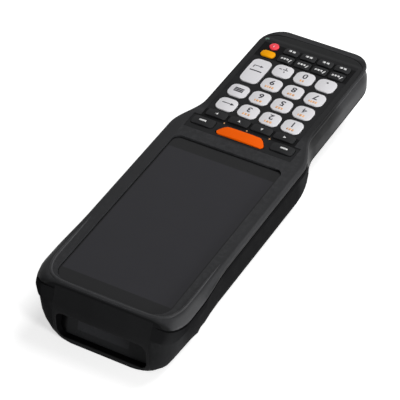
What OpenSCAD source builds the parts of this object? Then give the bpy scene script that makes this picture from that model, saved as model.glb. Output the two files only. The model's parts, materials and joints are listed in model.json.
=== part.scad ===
// Portable barcode data terminal. A wide display section with a scanner in its
// nose narrows at a waist to a keypad grip. A thick lower housing under the
// display carries the battery. X runs to the user's right, Y towards the
// scanner, Z up out of the screen. The origin is on the underside, in the
// middle of the outline. All sizes are in millimetres.

/* [Body] */
// Length from the keypad end to the scanner nose
overall_length = 216; // [212:1:224]
// Height from the underside to the face of the bezel
body_height = 31; // [31:0.5:34]
// Width across the display section
display_width = 73.4; // [73:0.2:77]
// Extra width on each side at the scanner corners
nose_flare = 2; // [1.4:0.1:2.2]
// Width across the keypad grip
grip_width = 59.7; // [59.4:0.1:62]
// Thickness of the keypad grip
grip_thickness = 16.8; // [16.4:0.1:18]
// Distance from the keypad end to the narrow end of the waist
waist_from_tail = 67; // [66:0.5:69]
// Length of the curved waist
waist_length = 24; // [20:1:26]
// Corner depth at the keypad end, seen from above
tail_corner = 13.5; // [10:0.5:14]
// Corner width at the keypad end, seen from above
tail_corner_width = 9.3; // [8:0.1:10]
// Corner depth at the scanner end, seen from above
nose_corner = 8; // [7:0.25:9]
// Corner depth of the bezel's rim at the scanner end
rim_corner = 12; // [10:0.25:12.5]
// Corner width of the bezel's rim at the scanner end
rim_corner_width = 10; // [8:0.25:10.5]
// Distance of the bezel's rim behind the foot of the nose
nose_lean = 5.6; // [5:0.2:6]
// Radius of the bezel's rim across the scanner end
rim_radius = 1.2; // [0.8:0.1:1.4]
// Drop of the face at the keypad end
tail_drop = 1.3; // [1:0.1:2]
// Wall thickness of the housings
wall = 2; // [1.8:0.1:2.2]

/* [Edges and parting lines] */
// Sideways extent of the rounded edge beside the display
side_edge = 1.8; // [1:0.1:2.2]
// Depth of the rounded edge beside the display
side_edge_depth = 1.4; // [0.8:0.1:2]
// Sideways extent of the rounded shoulder at the scanner corners
nose_edge = 4; // [3.4:0.1:4.4]
// Depth of the rounded shoulder at the scanner corners
nose_edge_depth = 4; // [3:0.25:5]
// How far the skirt turns in again at its lower edge at the scanner corners
nose_tuck = 1.8; // [1:0.1:2.2]
// Radius of the rounded edge beside the keypad
grip_edge = 1.2; // [0.8:0.1:1.5]
// Inset of the keypad face from the side of the grip
grip_shoulder = 0.4; // [0.3:0.1:1]
// Depth of the finger groove along the grip
finger_groove = 0.9; // [0.4:0.1:1.1]
// Depth of the side skirt below the bezel face, beside the display
skirt_depth = 5.5; // [5:0.25:6.5]
// Depth of the skirt below the bezel face, at the scanner corners
nose_skirt_depth = 9.75; // [9:0.25:11]
// Depth of the skirt below the bezel face, along the grip
grip_skirt_depth = 14; // [13.5:0.25:14.5]
// Distance from the nose at which the skirt deepens
skirt_step_from_nose = 31; // [29:0.5:33]
// Set-back of the lower housing under the side skirt
undercut = 4.2; // [3.4:0.1:4.4]
// Set-back of the lower housing under the scanner corners
nose_undercut = 3.3; // [2.8:0.1:3.8]
// Width of the lower housing's rounded bottom corner
keel_width = 6.8; // [5:0.2:7.4]
// Height of the lower housing's rounded bottom corner
keel_height = 8; // [6:0.5:9]
// Width of the rounded bottom corner at the nose
nose_keel_width = 10.7; // [9:0.1:12]
// Height of the rounded bottom corner at the nose
nose_keel_height = 18.5; // [15:0.5:19.5]
// Distance of the thick section's rear end from the keypad end
thick_from_tail = 77; // [76:0.5:79]
// Radius of the thick section's rear end
thick_end_radius = 9.8; // [8:0.2:10]

/* [Display] */
// Width of the bezel beside the cover glass
bezel_side = 7.4; // [7.2:0.1:8]
// Distance from the keypad frame to the cover glass
glass_from_keys = 7.6; // [7.2:0.1:8.8]
// Distance of the glass from the foot of the nose
glass_from_nose = 7.6; // [7.2:0.1:9]
// Corner radius of the cover glass at the keypad end
glass_corner = 3.5; // [2:0.5:5]
// Corner radius of the cover glass at the scanner end
glass_nose_corner = 8; // [6:0.5:9]
// Thickness of the cover glass
glass_thickness = 1.1; // [0.8:0.1:1.3]
// Depth of the glass below the bezel face
glass_sink = 1; // [0.6:0.1:1.2]
// Gap around the cover glass
glass_gap = 0.2; // [0.1:0.05:0.3]
// Thickness of the gasket under the glass
gasket_thickness = 0.3; // [0.2:0.05:0.4]
// Border of the cover glass beside the display module
lcd_border = 1.5; // [1.3:0.1:2]
// Border of the cover glass towards the keypad
lcd_rear_border = 7.5; // [7:0.1:9]
// Border of the cover glass towards the scanner
lcd_nose_border = 7.2; // [6.8:0.1:8]
// Thickness of the display module
lcd_thickness = 1.8; // [1.5:0.1:1.8]
// Thickness of the metal mid plate under the display
plate_thickness = 1; // [0.8:0.1:1.2]
// Thickness of the circuit boards
board_thickness = 1.2; // [1:0.1:1.4]

/* [Keys] */
// Column pitch of the number keys
key_pitch_x = 12; // [11.8:0.1:12.2]
// Row pitch of the number keys
key_pitch_y = 11.84; // [11.7:0.02:12]
// Width of a number key
key_width = 10.1; // [9.8:0.1:10.8]
// Length of a number key
key_length = 9.2; // [9:0.1:9.8]
// Corner radius of a number key
key_corner = 3; // [2:0.25:3.5]
// Distance of the 1-2-3 row from the keypad end
digit_row_from_tail = 67; // [66.6:0.1:67.6]
// Width of an arrow key
arrow_key_width = 11; // [10:0.1:11.4]
// Length of an arrow key
arrow_key_length = 4.9; // [4.6:0.1:5.1]
// Column pitch of the arrow keys
arrow_pitch = 12.4; // [12.3:0.1:12.6]
// Width of a soft key beside the scan key
soft_key_width = 12; // [11:0.25:12.25]
// Length of a soft key
soft_key_length = 5.8; // [5.4:0.1:6.2]
// Width of the scan key on its display side
scan_key_width = 26.4; // [25:0.2:27.4]
// Width of the scan key on its keypad side
scan_key_foot = 21.6; // [20:0.2:23]
// Length of the scan key
scan_key_length = 6.4; // [6:0.1:7]
// Width of a function key
function_key_width = 8.2; // [7:0.1:8.3]
// Column pitch of the function keys
function_pitch = 9.5; // [9.4:0.1:9.8]
// Length of a key in the upper function row
function_key_length = 5.3; // [5:0.1:5.5]
// Length of a key in the lower function row
lower_function_length = 4.5; // [4.2:0.1:4.7]
// Width of the amber key
amber_key_width = 7.5; // [7:0.1:8.3]
// Length of the amber key
amber_key_length = 4.4; // [4.2:0.1:5.3]
// Diameter of the power key
power_key_diameter = 5; // [4.7:0.1:5.4]
// Height of the key tops above the bezel face
key_stand = 0.9; // [0.7:0.1:1.2]
// Drop of a key's top from its middle to its corners
key_crown = 0.6; // [0.3:0.05:0.7]
// Gap between a key and its opening
key_gap = 0.25; // [0.2:0.05:0.3]
// Travel of a key when pressed
key_travel = 0.6; // [0.4:0.05:0.7]
// Overhang of the flange that keeps a key in
flange_overhang = 0.5; // [0.4:0.05:0.55]
// Thickness of a key's flange
flange_thickness = 0.7; // [0.5:0.05:0.8]
// Thickness of the keypad frame
frame_thickness = 1.8; // [1.6:0.1:2]
// Length of the plunger under a key
plunger_length = 0.8; // [0.6:0.1:1]
// Height of a snap dome
dome_height = 0.35; // [0.25:0.05:0.45]
// Diameter of a snap dome
dome_diameter = 4; // [3.4:0.1:4.2]

/* [Scanner nose] */
// Width of the nose cover
nose_cover_width = 51; // [50:0.5:52]
// Width of the recess in front of the scan window
recess_width = 47.4; // [46:0.2:48]
// Height of the scan recess
recess_height = 14.6; // [13.5:0.1:15]
// Height of the recess floor above the underside
recess_floor = 2.4; // [2.2:0.1:3]
// Depth of the scan recess at its floor
recess_depth = 3; // [2.5:0.25:3.5]
// Tilt of the scan window, whose top lies further back, in degrees
window_tilt = 18; // [12:1:20]
// Corner radius of the scan recess
recess_corner = 4; // [3:0.25:5]
// Thickness of the scan window
window_thickness = 1.2; // [1:0.1:1.5]
// Rim of the nose cover that the window seats on
window_seat = 2.2; // [1.8:0.1:2.6]
// Width of the scan engine
engine_width = 27; // [24:0.5:28]
// Depth of the scan engine
engine_depth = 12; // [10:0.5:14]
// Height of the scan engine
engine_height = 9; // [8:0.5:10]
// Sideways offset of the scan engine
engine_offset = 1.5; // [0:0.25:2]

/* [Battery and latch] */
// Wall of the lower housing beside the battery pack
battery_side = 10; // [9.6:0.1:11]
// Distance of the battery pack from the foot of the nose
battery_from_nose = 62.5; // [61:0.5:66]
// Thickness of the battery pack
battery_thickness = 12.6; // [12:0.2:13]
// Distance of the battery pack from the thick section's rear end
battery_from_rear = 10.5; // [10.2:0.1:11.4]
// Gap around the battery pack
battery_gap = 0.3; // [0.2:0.05:0.35]
// Width of the battery latch
latch_width = 16; // [14:0.5:18]
// Length of the battery latch
latch_length = 8; // [7:0.25:9]
// Travel of the battery latch
latch_travel = 2.5; // [2:0.1:2.8]
// Reach of the latch tongue into the battery pack
latch_reach = 1.8; // [1.4:0.1:1.9]

/* [Ports and screws] */
// Width of the rubber port cover
port_cover_width = 16; // [15:0.5:18]
// Height of the rubber port cover
port_cover_height = 6.4; // [6:0.1:6.8]
// Thickness of the rubber port cover
port_cover_thickness = 1.4; // [1.2:0.1:1.5]
// Width of the data port's mouth
port_width = 9.2; // [9:0.1:9.4]
// Height of the data port's mouth
port_height = 3.4; // [3.2:0.1:3.6]
// Diameter of a screw shank
screw_diameter = 2; // [1.8:0.1:2.2]
// Diameter of a screw head
screw_head = 4; // [3.6:0.1:4.2]
// Height of a screw head
screw_head_height = 1.6; // [1.4:0.1:1.8]
// Diameter of a screw boss
boss_diameter = 5.2; // [5:0.1:5.6]
// Diameter of the camera window in the underside
camera_window_diameter = 9; // [8:0.5:10]
// Width and length of the speaker
speaker_size = 14; // [13:0.5:15]

/* [Hidden] */
$fn = 48;
// Overlap of two joined shapes, too small to see
eps = 0.01;
// Gap between fixed pieces that slot together
fit = 0.1;
// How far a cutter runs past the face it cuts
over = 1;
// Height of a cutter that opens a hollow upwards
open_up = 40;

tail_y = -overall_length / 2;
nose_y = overall_length / 2;
waist_y = tail_y + waist_from_tail;
waist_end_y = waist_y + waist_length;
thick_y = tail_y + thick_from_tail;
step_y = nose_y - skirt_step_from_nose;
step_length = 2;
flare_from_nose = 51;
flare_y = nose_y - flare_from_nose;
flare_length = 27;
keel_blend_from_nose = 41;
keel_blend_y = nose_y - keel_blend_from_nose;
keel_blend_length = 26;
tray_z = body_height - grip_thickness;
seam_z = body_height - skirt_depth;
// The parting line rises this far past the start of the waist
rise_past_waist = 7;
rise_y = waist_y + rise_past_waist;
rise_length = 10;
nose_corner_width = 7;
// The lower housing's nose corners turn in this much more than the upper ones
lower_corner_gain = 1.3;
nose_slope_depth = 12;
// Levels of the finger groove and of the widest line, as parts of the grip's side
groove_level = 0.8;
widest_level = 0.5;
// Bottom corner radius of the grip
grip_keel = 3;
keel_margin = 0.4;

function mix(a, b, t) = a + (b - a) * t;
function ease(x) = x <= 0 ? 0 : x >= 1 ? 1 : (1 - cos(180 * x)) / 2;

// The waist runs from 0 on the grip to 1 beside the display.
function waist(y) = ease((y - waist_y) / waist_length);
function rise(y) = ease((y - rise_y) / rise_length);
function step(y) = ease((y - step_y) / step_length);
function flare(y) = ease((y - flare_y) / flare_length);
function half_width(y) = mix(grip_width, display_width, waist(y)) / 2 + nose_flare * flare(y);
function face_z(y) = body_height - tail_drop * (1 - ease((y - tail_y) / tail_corner));
function parting_z(y) =
    body_height - mix(grip_skirt_depth, mix(skirt_depth, nose_skirt_depth, step(y)), rise(y));

// Distance along the thick section's rounded rear end, 0 at its face and 1 past it
function rear_end(y) = min(1, max(0, (y - thick_y) / thick_end_radius));
function bottom_z(y) =
    y < thick_y ? tray_z : thick_end_radius * (1 - sqrt(1 - pow(1 - rear_end(y), 2)));

// The lower housing is set back under the skirt but never wider than the waist above it
function lower_half_width(y) = min(
    half_width(y),
    display_width / 2 + nose_flare * flare(y) - mix(undercut, nose_undercut, step(y))
);
function keel_blend(y) = ease((y - keel_blend_y) / keel_blend_length);

// Stations along the body: [y at the foot, how far the corners have turned in], and at the nose also
// the rim's distance behind its front and how much further than the foot it has turned in
corner_steps = 6;
corner_turns = [for (i = [0 : corner_steps]) 90 * i / corner_steps];
function spaced(from, to, count) = [for (i = [1 : count]) mix(from, to, i / count)];
tail_stations = [
    for (a = corner_turns) [tail_y + tail_corner * (1 - cos(a)), tail_corner_width * (1 - sin(a))]
];
mid_ys = concat(
    [waist_y],
    spaced(waist_y, waist_end_y, 9),
    [mix(waist_end_y, flare_y, 0.5)],
    [flare_y],
    spaced(flare_y, step_y, 3),
    spaced(step_y, step_y + step_length, 4),
    spaced(step_y + step_length, flare_y + flare_length, 2)
);
mid_stations = [for (y = mid_ys) [y, 0]];
nose_stations = [
    for (a = corner_turns) [
        nose_y - nose_corner * (1 - sin(a)),
        nose_corner_width * (1 - cos(a)),
        rim_corner * (1 - sin(a)),
        (rim_corner_width - nose_corner_width) * (1 - cos(a))
    ]
];
// The underside jumps down within this length at the rear end of the thick section
rear_end_step = 0.1;
station_gap = 1;
rear_end_ys = [for (a = corner_turns) thick_y + thick_end_radius * (1 - cos(a))];
// Both housings share their stations, so that their parting faces meet exactly
stations = concat(
    tail_stations,
    [for (s = mid_stations) if (s[0] < thick_y - station_gap) s],
    [[thick_y - rear_end_step, 0]],
    [for (y = rear_end_ys) [y, 0]],
    [for (s = mid_stations) if (s[0] > rear_end_ys[corner_steps] + station_gap) s],
    nose_stations
);

// How far the foot of the nose lies in front of the same station at height z
function lean_at(s, z) =
    len(s) < 3 ? 0 : (nose_lean + s[2] - (nose_y - s[0])) * max(0, 1 - (body_height - z) / nose_slope_depth);

// Drop of the rounded rim at a station, by its distance behind the front of the rim
function rim_drop(s) =
    len(s) < 3 || s[2] > rim_radius ? 0 : rim_radius - sqrt(pow(rim_radius, 2) - pow(rim_radius - s[2], 2));

// Right half of the upper housing's section at a station, from the top round to the parting line
function front_half(s) =
    let (
        y = s[0],
        t = waist(y),
        w = half_width(y) - s[1],
        top = face_z(y) - rim_drop(s),
        bottom = parting_z(y),
        edge = mix(grip_edge, mix(side_edge, nose_edge, flare(y)), t) + (len(s) < 3 ? 0 : s[3]),
        depth = mix(grip_edge, mix(side_edge_depth, nose_edge_depth, flare(y)), t),
        shoulder = mix(grip_shoulder, 0, t),
        groove = mix(finger_groove, 0, t),
        left_over = top - depth - bottom
    )
    concat(
        [for (a = [0 : 30 : 90]) [w - shoulder - edge * (1 - sin(a)), top - depth * (1 - cos(a))]],
        [
            [w - shoulder - groove, bottom + groove_level * left_over],
            [w, bottom + widest_level * left_over],
            [w - nose_tuck * flare(y), bottom]
        ]
    );

// Right half of the lower housing's section at a station
function rear_half(s) =
    let (
        y = s[0],
        w = lower_half_width(y) - s[1] * (len(s) < 3 ? 1 : lower_corner_gain),
        top = parting_z(y),
        bottom = bottom_z(y),
        turn = y < thick_y ? 0 : 1,
        keel_w = mix(grip_keel, mix(keel_width, nose_keel_width, keel_blend(y)), turn),
        tall = mix(grip_keel, mix(keel_height, nose_keel_height, keel_blend(y)), turn),
        keel_h = min(tall, top - bottom - keel_margin)
    )
    concat(
        [[w, top]],
        [for (b = [0 : 18 : 90]) [w - keel_w * (1 - cos(b)), bottom + keel_h * (1 - sin(b))]]
    );

// Closed loft through the right halves of sections that are symmetric about the middle plane
module symmetric_loft(halves) {
    half_size = len(halves[0]);
    ring_size = 2 * half_size;
    count = len(stations);
    points = [
        for (j = [0 : count - 1])
            let (s = stations[j], half = halves[j])
                for (i = [0 : ring_size - 1])
                    let (p = i < half_size ? half[i] : half[ring_size - 1 - i])
                        [i < half_size ? p[0] : -p[0], s[0] - lean_at(s, p[1]), p[1]]
    ];
    sides = [
        for (j = [0 : count - 2], i = [0 : ring_size - 1])
            let (a = j * ring_size + i, b = j * ring_size + (i + 1) % ring_size)
                for (f = [[a, b + ring_size, b], [a, a + ring_size, b + ring_size]]) f
    ];
    caps = [
        for (end = [0, count - 1], i = [0 : half_size - 2])
            let (r = end * ring_size + i, l = (end + 1) * ring_size - 1 - i)
                for (f = [[r, r + 1, l - 1], [r, l - 1, l]]) end == 0 ? f : [f[0], f[2], f[1]]
    ];
    polyhedron(points, concat(sides, caps), convexity = 8);
}

// Flat plate with rounded corners, standing on z
module rounded_plate(width, length, radius, height) {
    linear_extrude(height) rounded_rectangle(width, length, radius);
}

module rounded_rectangle(width, length, radius) {
    square([width - 2 * radius, length], center = true);
    square([width, length - 2 * radius], center = true);
    for (x = [-1, 1], y = [-1, 1])
        translate([x * (width / 2 - radius), y * (length / 2 - radius)]) circle(radius);
}

// Rectangle with its own corner radius at each end of its length
module two_radius_rectangle(width, length, rear_radius, nose_radius) {
    translate([-width / 2, rear_radius - length / 2]) square([width, length - rear_radius - nose_radius]);
    for (end = [[-1, rear_radius], [1, nose_radius]]) {
        translate([0, end[0] * length / 4]) square([width - 2 * end[1], length / 2], center = true);
        for (x = [-1, 1])
            translate([x * (width / 2 - end[1]), end[0] * (length / 2 - end[1])]) circle(end[1]);
    }
}

// ---------- Heights of the stack ----------
glass_top = body_height - glass_sink;
glass_bottom = glass_top - glass_thickness;
glass_ledge = glass_bottom - gasket_thickness;
lcd_bottom = glass_bottom - lcd_thickness;
ledge_thickness = 1.6;
cavity_top = glass_ledge - ledge_thickness;
plate_bottom = cavity_top - plate_thickness;
frame_bottom = body_height - frame_thickness;
flange_top = frame_bottom - fit;
flange_bottom = flange_top - flange_thickness;
plunger_bottom = flange_bottom - plunger_length;
// What is left between a pressed plunger and the dome under it
dome_clearance = 0.05;
dome_top = plunger_bottom - key_travel - dome_clearance;
dome_sheet_thickness = 0.3;
dome_sheet_top = dome_top - dome_height;
keypad_board_top = dome_sheet_top - dome_sheet_thickness;
keypad_board_bottom = keypad_board_top - board_thickness;
battery_ceiling = battery_thickness + battery_gap;
bay_roof = 1.6;
bay_roof_top = battery_ceiling + bay_roof;
main_board_below_seam = 5;
main_board_bottom = seam_z - main_board_below_seam;
// The upper and lower screw bosses meet this far above the main board's underside
boss_joint_rise = 1;
boss_joint_z = main_board_bottom + boss_joint_rise;
boss_joint_gap = 0.2;

// ---------- Places in plan ----------
lcd_gap = 0.3;
lcd_corner = 0.8;
lower_width = display_width - 2 * undercut;
// The walls of the upper housing stand on those of the lower one, this far in
cavity_side = 1.5;
display_cavity_width = lower_width - 2 * cavity_side;
cavity_corner = 5;
cavity_rear_margin = 1.5;
cavity_from_nose = 10.5;

row_1_y = tail_y + digit_row_from_tail;
column_1_x = -1.5 * key_pitch_x;
key_row_gap = 1.75;
soft_row_gap = 2.6;
scan_row_gap = 3.6;
soft_column_gap = 2.4;
lower_row_gap = 1.5;
arrow_y = row_1_y + key_length / 2 + key_row_gap + arrow_key_length / 2;
arrow_edge = arrow_y + arrow_key_length / 2;
soft_y = arrow_edge + soft_row_gap + soft_key_length / 2;
scan_y = arrow_edge + scan_row_gap + scan_key_length / 2;
soft_x = scan_key_width / 2 + soft_column_gap + soft_key_width / 2;
row_4_edge = row_1_y - 3 * key_pitch_y - key_length / 2;
function_y = row_4_edge - key_row_gap - function_key_length / 2;
lower_function_y = function_y - function_key_length / 2 - lower_row_gap - lower_function_length / 2;
// The coloured keys stand a little outside the column of the enter key
amber_shift = 1.2;
amber_gap_extra = 0.6;
// The enter key ends this far short of the rows beside it
enter_inset = 1;
amber_x = column_1_x + 3 * key_pitch_x + amber_shift;
function_x = amber_x - 4 * function_pitch - amber_gap_extra;

// The keypad frame, which widens past the arrow keys
field_side = 1.5;
field_side_wide = 1.5;
field_end = 1.6;
field_tail_end = 2.4;
field_step_margin = 1.5;
field_half = 1.5 * arrow_pitch + arrow_key_width / 2 + field_side;
field_wide_half = soft_x + soft_key_width / 2 + field_side_wide;
field_tail = lower_function_y - lower_function_length / 2 - field_tail_end;
field_step = soft_y - soft_key_length / 2 - field_step_margin;
field_head = scan_y + scan_key_length / 2 + field_end;

// Cover glass, display module and the hollow under them
glass_width = display_width - 2 * bezel_side;
glass_rear = field_head + glass_from_keys;
glass_nose = nose_y - glass_from_nose;
glass_length = glass_nose - glass_rear;
glass_y = (glass_nose + glass_rear) / 2;
lcd_width = glass_width - 2 * lcd_border;
lcd_rear = glass_rear + lcd_rear_border;
lcd_nose = glass_nose - lcd_nose_border;
lcd_length = lcd_nose - lcd_rear;
lcd_y = (lcd_nose + lcd_rear) / 2;
display_cavity_rear = glass_rear - cavity_rear_margin;
display_cavity_nose = nose_y - cavity_from_nose;
display_cavity_length = display_cavity_nose - display_cavity_rear;
display_cavity_y = (display_cavity_nose + display_cavity_rear) / 2;

// Width of the ledge that the frame rests on
field_ledge = 0.7;
keypad_board_inset = 0.8;

// Each key: [name, x, y, width, length, corner radius, colour]
scan_key_bevel = 1.5;
arrow_corner = 1.2;
soft_corner = 1.5;
function_corner = 1;
amber_corner = 1.6;
function number_key(name, column, row) = [
    name, column_1_x + column * key_pitch_x, row_1_y - row * key_pitch_y,
    key_width, key_length, key_corner, "gainsboro"
];
digit_names = ["key_1", "key_2", "key_3", "key_4", "key_5", "key_6", "key_7", "key_8", "key_9"];
bottom_row_names = ["key_point", "key_0", "key_sign"];
number_keys = concat(
    [for (i = [0 : 8]) number_key(digit_names[i], i % 3, floor(i / 3))],
    [for (i = [0 : 2]) number_key(bottom_row_names[i], i, 3)],
    [number_key("key_back", 3, 0), number_key("key_menu", 3, 1)]
);
enter_key = [
    "key_enter", column_1_x + 3 * key_pitch_x, row_1_y - 2.5 * key_pitch_y,
    key_width, key_length + key_pitch_y - 2 * enter_inset, key_corner, "gainsboro"
];
arrow_names = ["key_left", "key_up", "key_down", "key_right"];
arrow_keys = [
    for (i = [0 : 3]) [
        arrow_names[i], (i - 1.5) * arrow_pitch, arrow_y,
        arrow_key_width, arrow_key_length, arrow_corner, "dimgray"
    ]
];
soft_keys = [
    ["key_soft_left", -soft_x, soft_y, soft_key_width, soft_key_length, soft_corner, "dimgray"],
    ["key_soft_right", soft_x, soft_y, soft_key_width, soft_key_length, soft_corner, "dimgray"]
];
function function_key(name, i, y, length) =
    [name, function_x + i * function_pitch, y, function_key_width, length, function_corner, "dimgray"];
upper_function_names = ["key_f1", "key_f2", "key_f3", "key_f4"];
lower_function_names = ["key_f5", "key_f6", "key_f7", "key_f8"];
function_keys = concat(
    [for (i = [0 : 3]) function_key(upper_function_names[i], i, function_y, function_key_length)],
    [for (i = [0 : 3]) function_key(lower_function_names[i], i, lower_function_y, lower_function_length)]
);
amber_key = [
    "key_shift", amber_x, function_y, amber_key_width, amber_key_length, amber_corner, "orange"
];
power_key = [
    "key_power", amber_x, lower_function_y - (power_key_diameter - lower_function_length) / 2,
    power_key_diameter, power_key_diameter, power_key_diameter / 2 - eps, "crimson"
];
plain_keys = concat(number_keys, [enter_key], arrow_keys, soft_keys, function_keys, [amber_key, power_key]);

// ---------- Scan window ----------
// The nose cover is deeper round the recess than above it
nose_cover_depth = 6;
nose_cover_rear = nose_y - nose_cover_depth;
nose_cover_drop = 2;
nose_cover_top = body_height - nose_cover_drop;
recess_z = recess_floor + recess_height / 2;
recess_roof = 2;
nose_box_top = recess_floor + recess_height + recess_roof;
window_back_wall = 0.8;
nose_box_depth = recess_depth + recess_height * tan(window_tilt)
    + window_thickness / cos(window_tilt) + window_back_wall;
nose_box_rear = nose_y - nose_box_depth;
window_width = recess_width - 2 * fit;
window_height = recess_height - 2 * fit;
seat_corner_trim = 1;
engine_gap = 0.4;
engine_front = nose_box_rear - engine_gap;
engine_rear = engine_front - engine_depth;
engine_z = recess_z - engine_height / 2;
lens_rim = 3;
lens_taper = 1.5;
lens_depth = 1.5;
lens_place = 0.25;
plunger_trim = 1;
plunger_diameter = dome_diameter - plunger_trim;
bracket_thickness = 1.5;
bracket_leg = 3;
bracket_leg_place = 0.35;

// ---------- Battery and latch ----------
battery_rear = thick_y + battery_from_rear;
battery_front = nose_y - battery_from_nose;
battery_length = battery_front - battery_rear;
battery_width = lower_width - 2 * battery_side;
battery_y = (battery_rear + battery_front) / 2;
bay_corner = 3;
latch_gap = 0.3;
latch_side_gap = 0.2;
latch_stop_gap = 0.6;
latch_rear = battery_front + battery_gap + wall + latch_gap;
latch_front = latch_rear + latch_length;
latch_y = (latch_rear + latch_front) / 2;
latch_thickness = 2.4;
latch_lip = 1.4;
latch_wing = 1.5;
latch_sink = 0.3;
latch_headroom = 0.4;
tongue_side = 3;
tongue_width = latch_width - 2 * tongue_side;
tongue_thickness = 1.2;
tongue_z = latch_sink + latch_lip;
// Free space around the tongue in the battery pack's notch
notch_gap = 0.5;
grip_line_count = 4;
grip_line_pitch = 1.5;
grip_line_width = 0.7;
grip_line_depth = 0.5;
pack_line_count = 7;
pack_line_pitch = 3;
pack_line_width = 1;
pack_line_length = 24;
contact_count = 4;
contact_pitch = 4.4;
contact_width = 2.6;
contact_length = 4;
contact_from_rear = 6;

// ---------- Floor of the lower housing in front of the latch ----------
floor_z = 2.4;
scanner_hollow_rear = latch_front + latch_travel + latch_stop_gap + wall;
scanner_hollow_width = 36;
// Space between neighbouring pieces on the floor
floor_spacing = 1;
camera_y = scanner_hollow_rear + speaker_size / 2 + floor_spacing;
camera_x = 10;
camera_size = 8;
camera_height = 5;
camera_window_sink = 0.4;
speaker_x = -9;
speaker_height = 3;
slot_count = 5;
slot_pitch = 2.2;
slot_width = 1;
slot_length = 9;
motor_diameter = 8;
motor_height = 3;
motor_y = camera_y + camera_size / 2 + motor_diameter / 2 + floor_spacing;

// ---------- Screws ----------
boss_inset = 5.4;
boss_rear_inset = 6;
boss_nose_inset = 4.4;
display_screw_x = display_cavity_width / 2 - boss_inset;
grip_screw_x = 19;
grip_screw_from_tail = 7;
grip_screw_y = tail_y + grip_screw_from_tail;
display_screws = [
    for (side = [-1, 1], y = [display_cavity_rear + boss_rear_inset, display_cavity_nose - boss_nose_inset])
        [side * display_screw_x, y]
];
grip_screws = [for (side = [-1, 1]) [side * grip_screw_x, grip_screw_y]];
screw_seat = 3.2;
grip_screw_seat = 0.2;
screw_length = 18;
grip_screw_length = 9;
screw_hole_gap = 0.4;
socket_depth = 0.8;
// Solid left over the end of a pilot hole
pilot_roof = 6;
display_pilot_roof = 0.5;

// ---------- Boards and their posts ----------
board_inset = 3;
board_shortening = 30;
board_length = display_cavity_length - board_shortening;
board_shift = -5;
board_corner = 2;
chip_width = 22;
chip_length = 16;
chip_height = 1.6;
// Places of the chips and of the posts, as parts of the length that they stand on
chip_places = [-0.35, 0.01, 0.31];
post_diameter = 4;
post_x = 24;
post_place = 0.3;
post_spread = post_place * display_cavity_length;
keypad_post_x = 20;
keypad_post_spread = 24;
post_sink = 0.1;
rear_hollow_inset = 2.3;
rear_hollow_end_inset = 1;
rear_hollow_corner = 4;

// ---------- Hollow of the grip, ahead of its screws ----------
grip_floor = 1.6;
grip_hollow_gap = 1;
grip_hollow_tail = grip_screw_y + boss_diameter / 2 + grip_hollow_gap;
grip_hollow_nose = thick_y - wall;
grip_hollow_corner = 3;
ribbon_width = 16;
ribbon_slot = 3;

// ---------- Port in the keypad end ----------
port_margin = 1.4;
port_z = body_height - grip_skirt_depth + port_cover_height / 2 + port_margin;
port_hinge_y = tail_y + port_cover_thickness / 2;
port_hinge_z = port_z - port_cover_height / 2;
port_plug_depth = 1.2;
port_plug_gap = 0.5;
port_length = 7.5;
port_wall = 0.4;
port_front = tail_y + port_cover_thickness + port_plug_depth + port_wall;
port_socket_width = 11;
port_socket_height = 5;
port_socket_spare = 6;

// ---------- Charging contacts under the grip ----------
dock_from_tail = 26;
dock_y = tail_y + dock_from_tail;
dock_width = 20;
dock_length = 4;
dock_corner = 1;
dock_sink = 0.3;
dock_pad_count = 6;
dock_pad_pitch = 3.2;
dock_pad_width = 2;
dock_pad_length = 3;
dock_pad_height = 0.4;

// ---------- Housings ----------
module front_outer() {
    symmetric_loft([for (s = stations) front_half(s)]);
}

module rear_outer() {
    symmetric_loft([for (s = stations) rear_half(s)]);
}

// Space that the nose cover fills, between the two corners
module nose_cover_space(gap) {
    translate([-nose_cover_width / 2 - gap, nose_cover_rear - gap, -over])
        cube([nose_cover_width + 2 * gap, nose_cover_depth + gap + over, nose_cover_top + over + gap]);
    translate([-nose_cover_width / 2 - gap, nose_box_rear - gap, -over])
        cube([nose_cover_width + 2 * gap, nose_box_depth + gap + over, nose_box_top + over + gap]);
}

// Outline of the keypad frame grown by a margin on every side
module field_outline(margin) {
    translate([-field_half - margin, field_tail - margin])
        square([2 * (field_half + margin), field_head - field_tail + 2 * margin]);
    translate([-field_wide_half - margin, field_step - margin])
        square([2 * (field_wide_half + margin), field_head - field_step + 2 * margin]);
}

module at_places(places, z) {
    for (p = places) translate([p[0], p[1], z]) children();
}

module posts(x, y, spread, z, top) {
    for (side = [-1, 1], end = [-1, 1])
        translate([side * x, y + end * spread, z]) cylinder(d = post_diameter, h = top - z);
}

// Outline of the cover glass grown by a margin on every side
module glass_outline(margin) {
    translate([0, glass_y])
        two_radius_rectangle(
            glass_width + 2 * margin, glass_length + 2 * margin,
            glass_corner + margin, glass_nose_corner + margin
        );
}

// Glass pocket, the opening over the display module and the hollows under display and keypad
module front_hollow() {
    translate([0, 0, glass_ledge]) linear_extrude(open_up) glass_outline(glass_gap);
    translate([0, lcd_y, cavity_top - over])
        rounded_plate(lcd_width + 2 * lcd_gap, lcd_length + 2 * lcd_gap, lcd_corner + lcd_gap, open_up);
    translate([0, display_cavity_y, 0])
        rounded_plate(display_cavity_width, display_cavity_length, cavity_corner, cavity_top);
    translate([0, 0, frame_bottom]) linear_extrude(open_up) field_outline(fit);
    linear_extrude(body_height) field_outline(-field_ledge);
    // passage of the ribbon between the two boards
    translate([-ribbon_width / 2, field_head - field_ledge - over, keypad_board_bottom - ribbon_slot])
        cube([ribbon_width, display_cavity_rear - field_head + field_ledge + 2 * over, ribbon_slot]);
}

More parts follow.
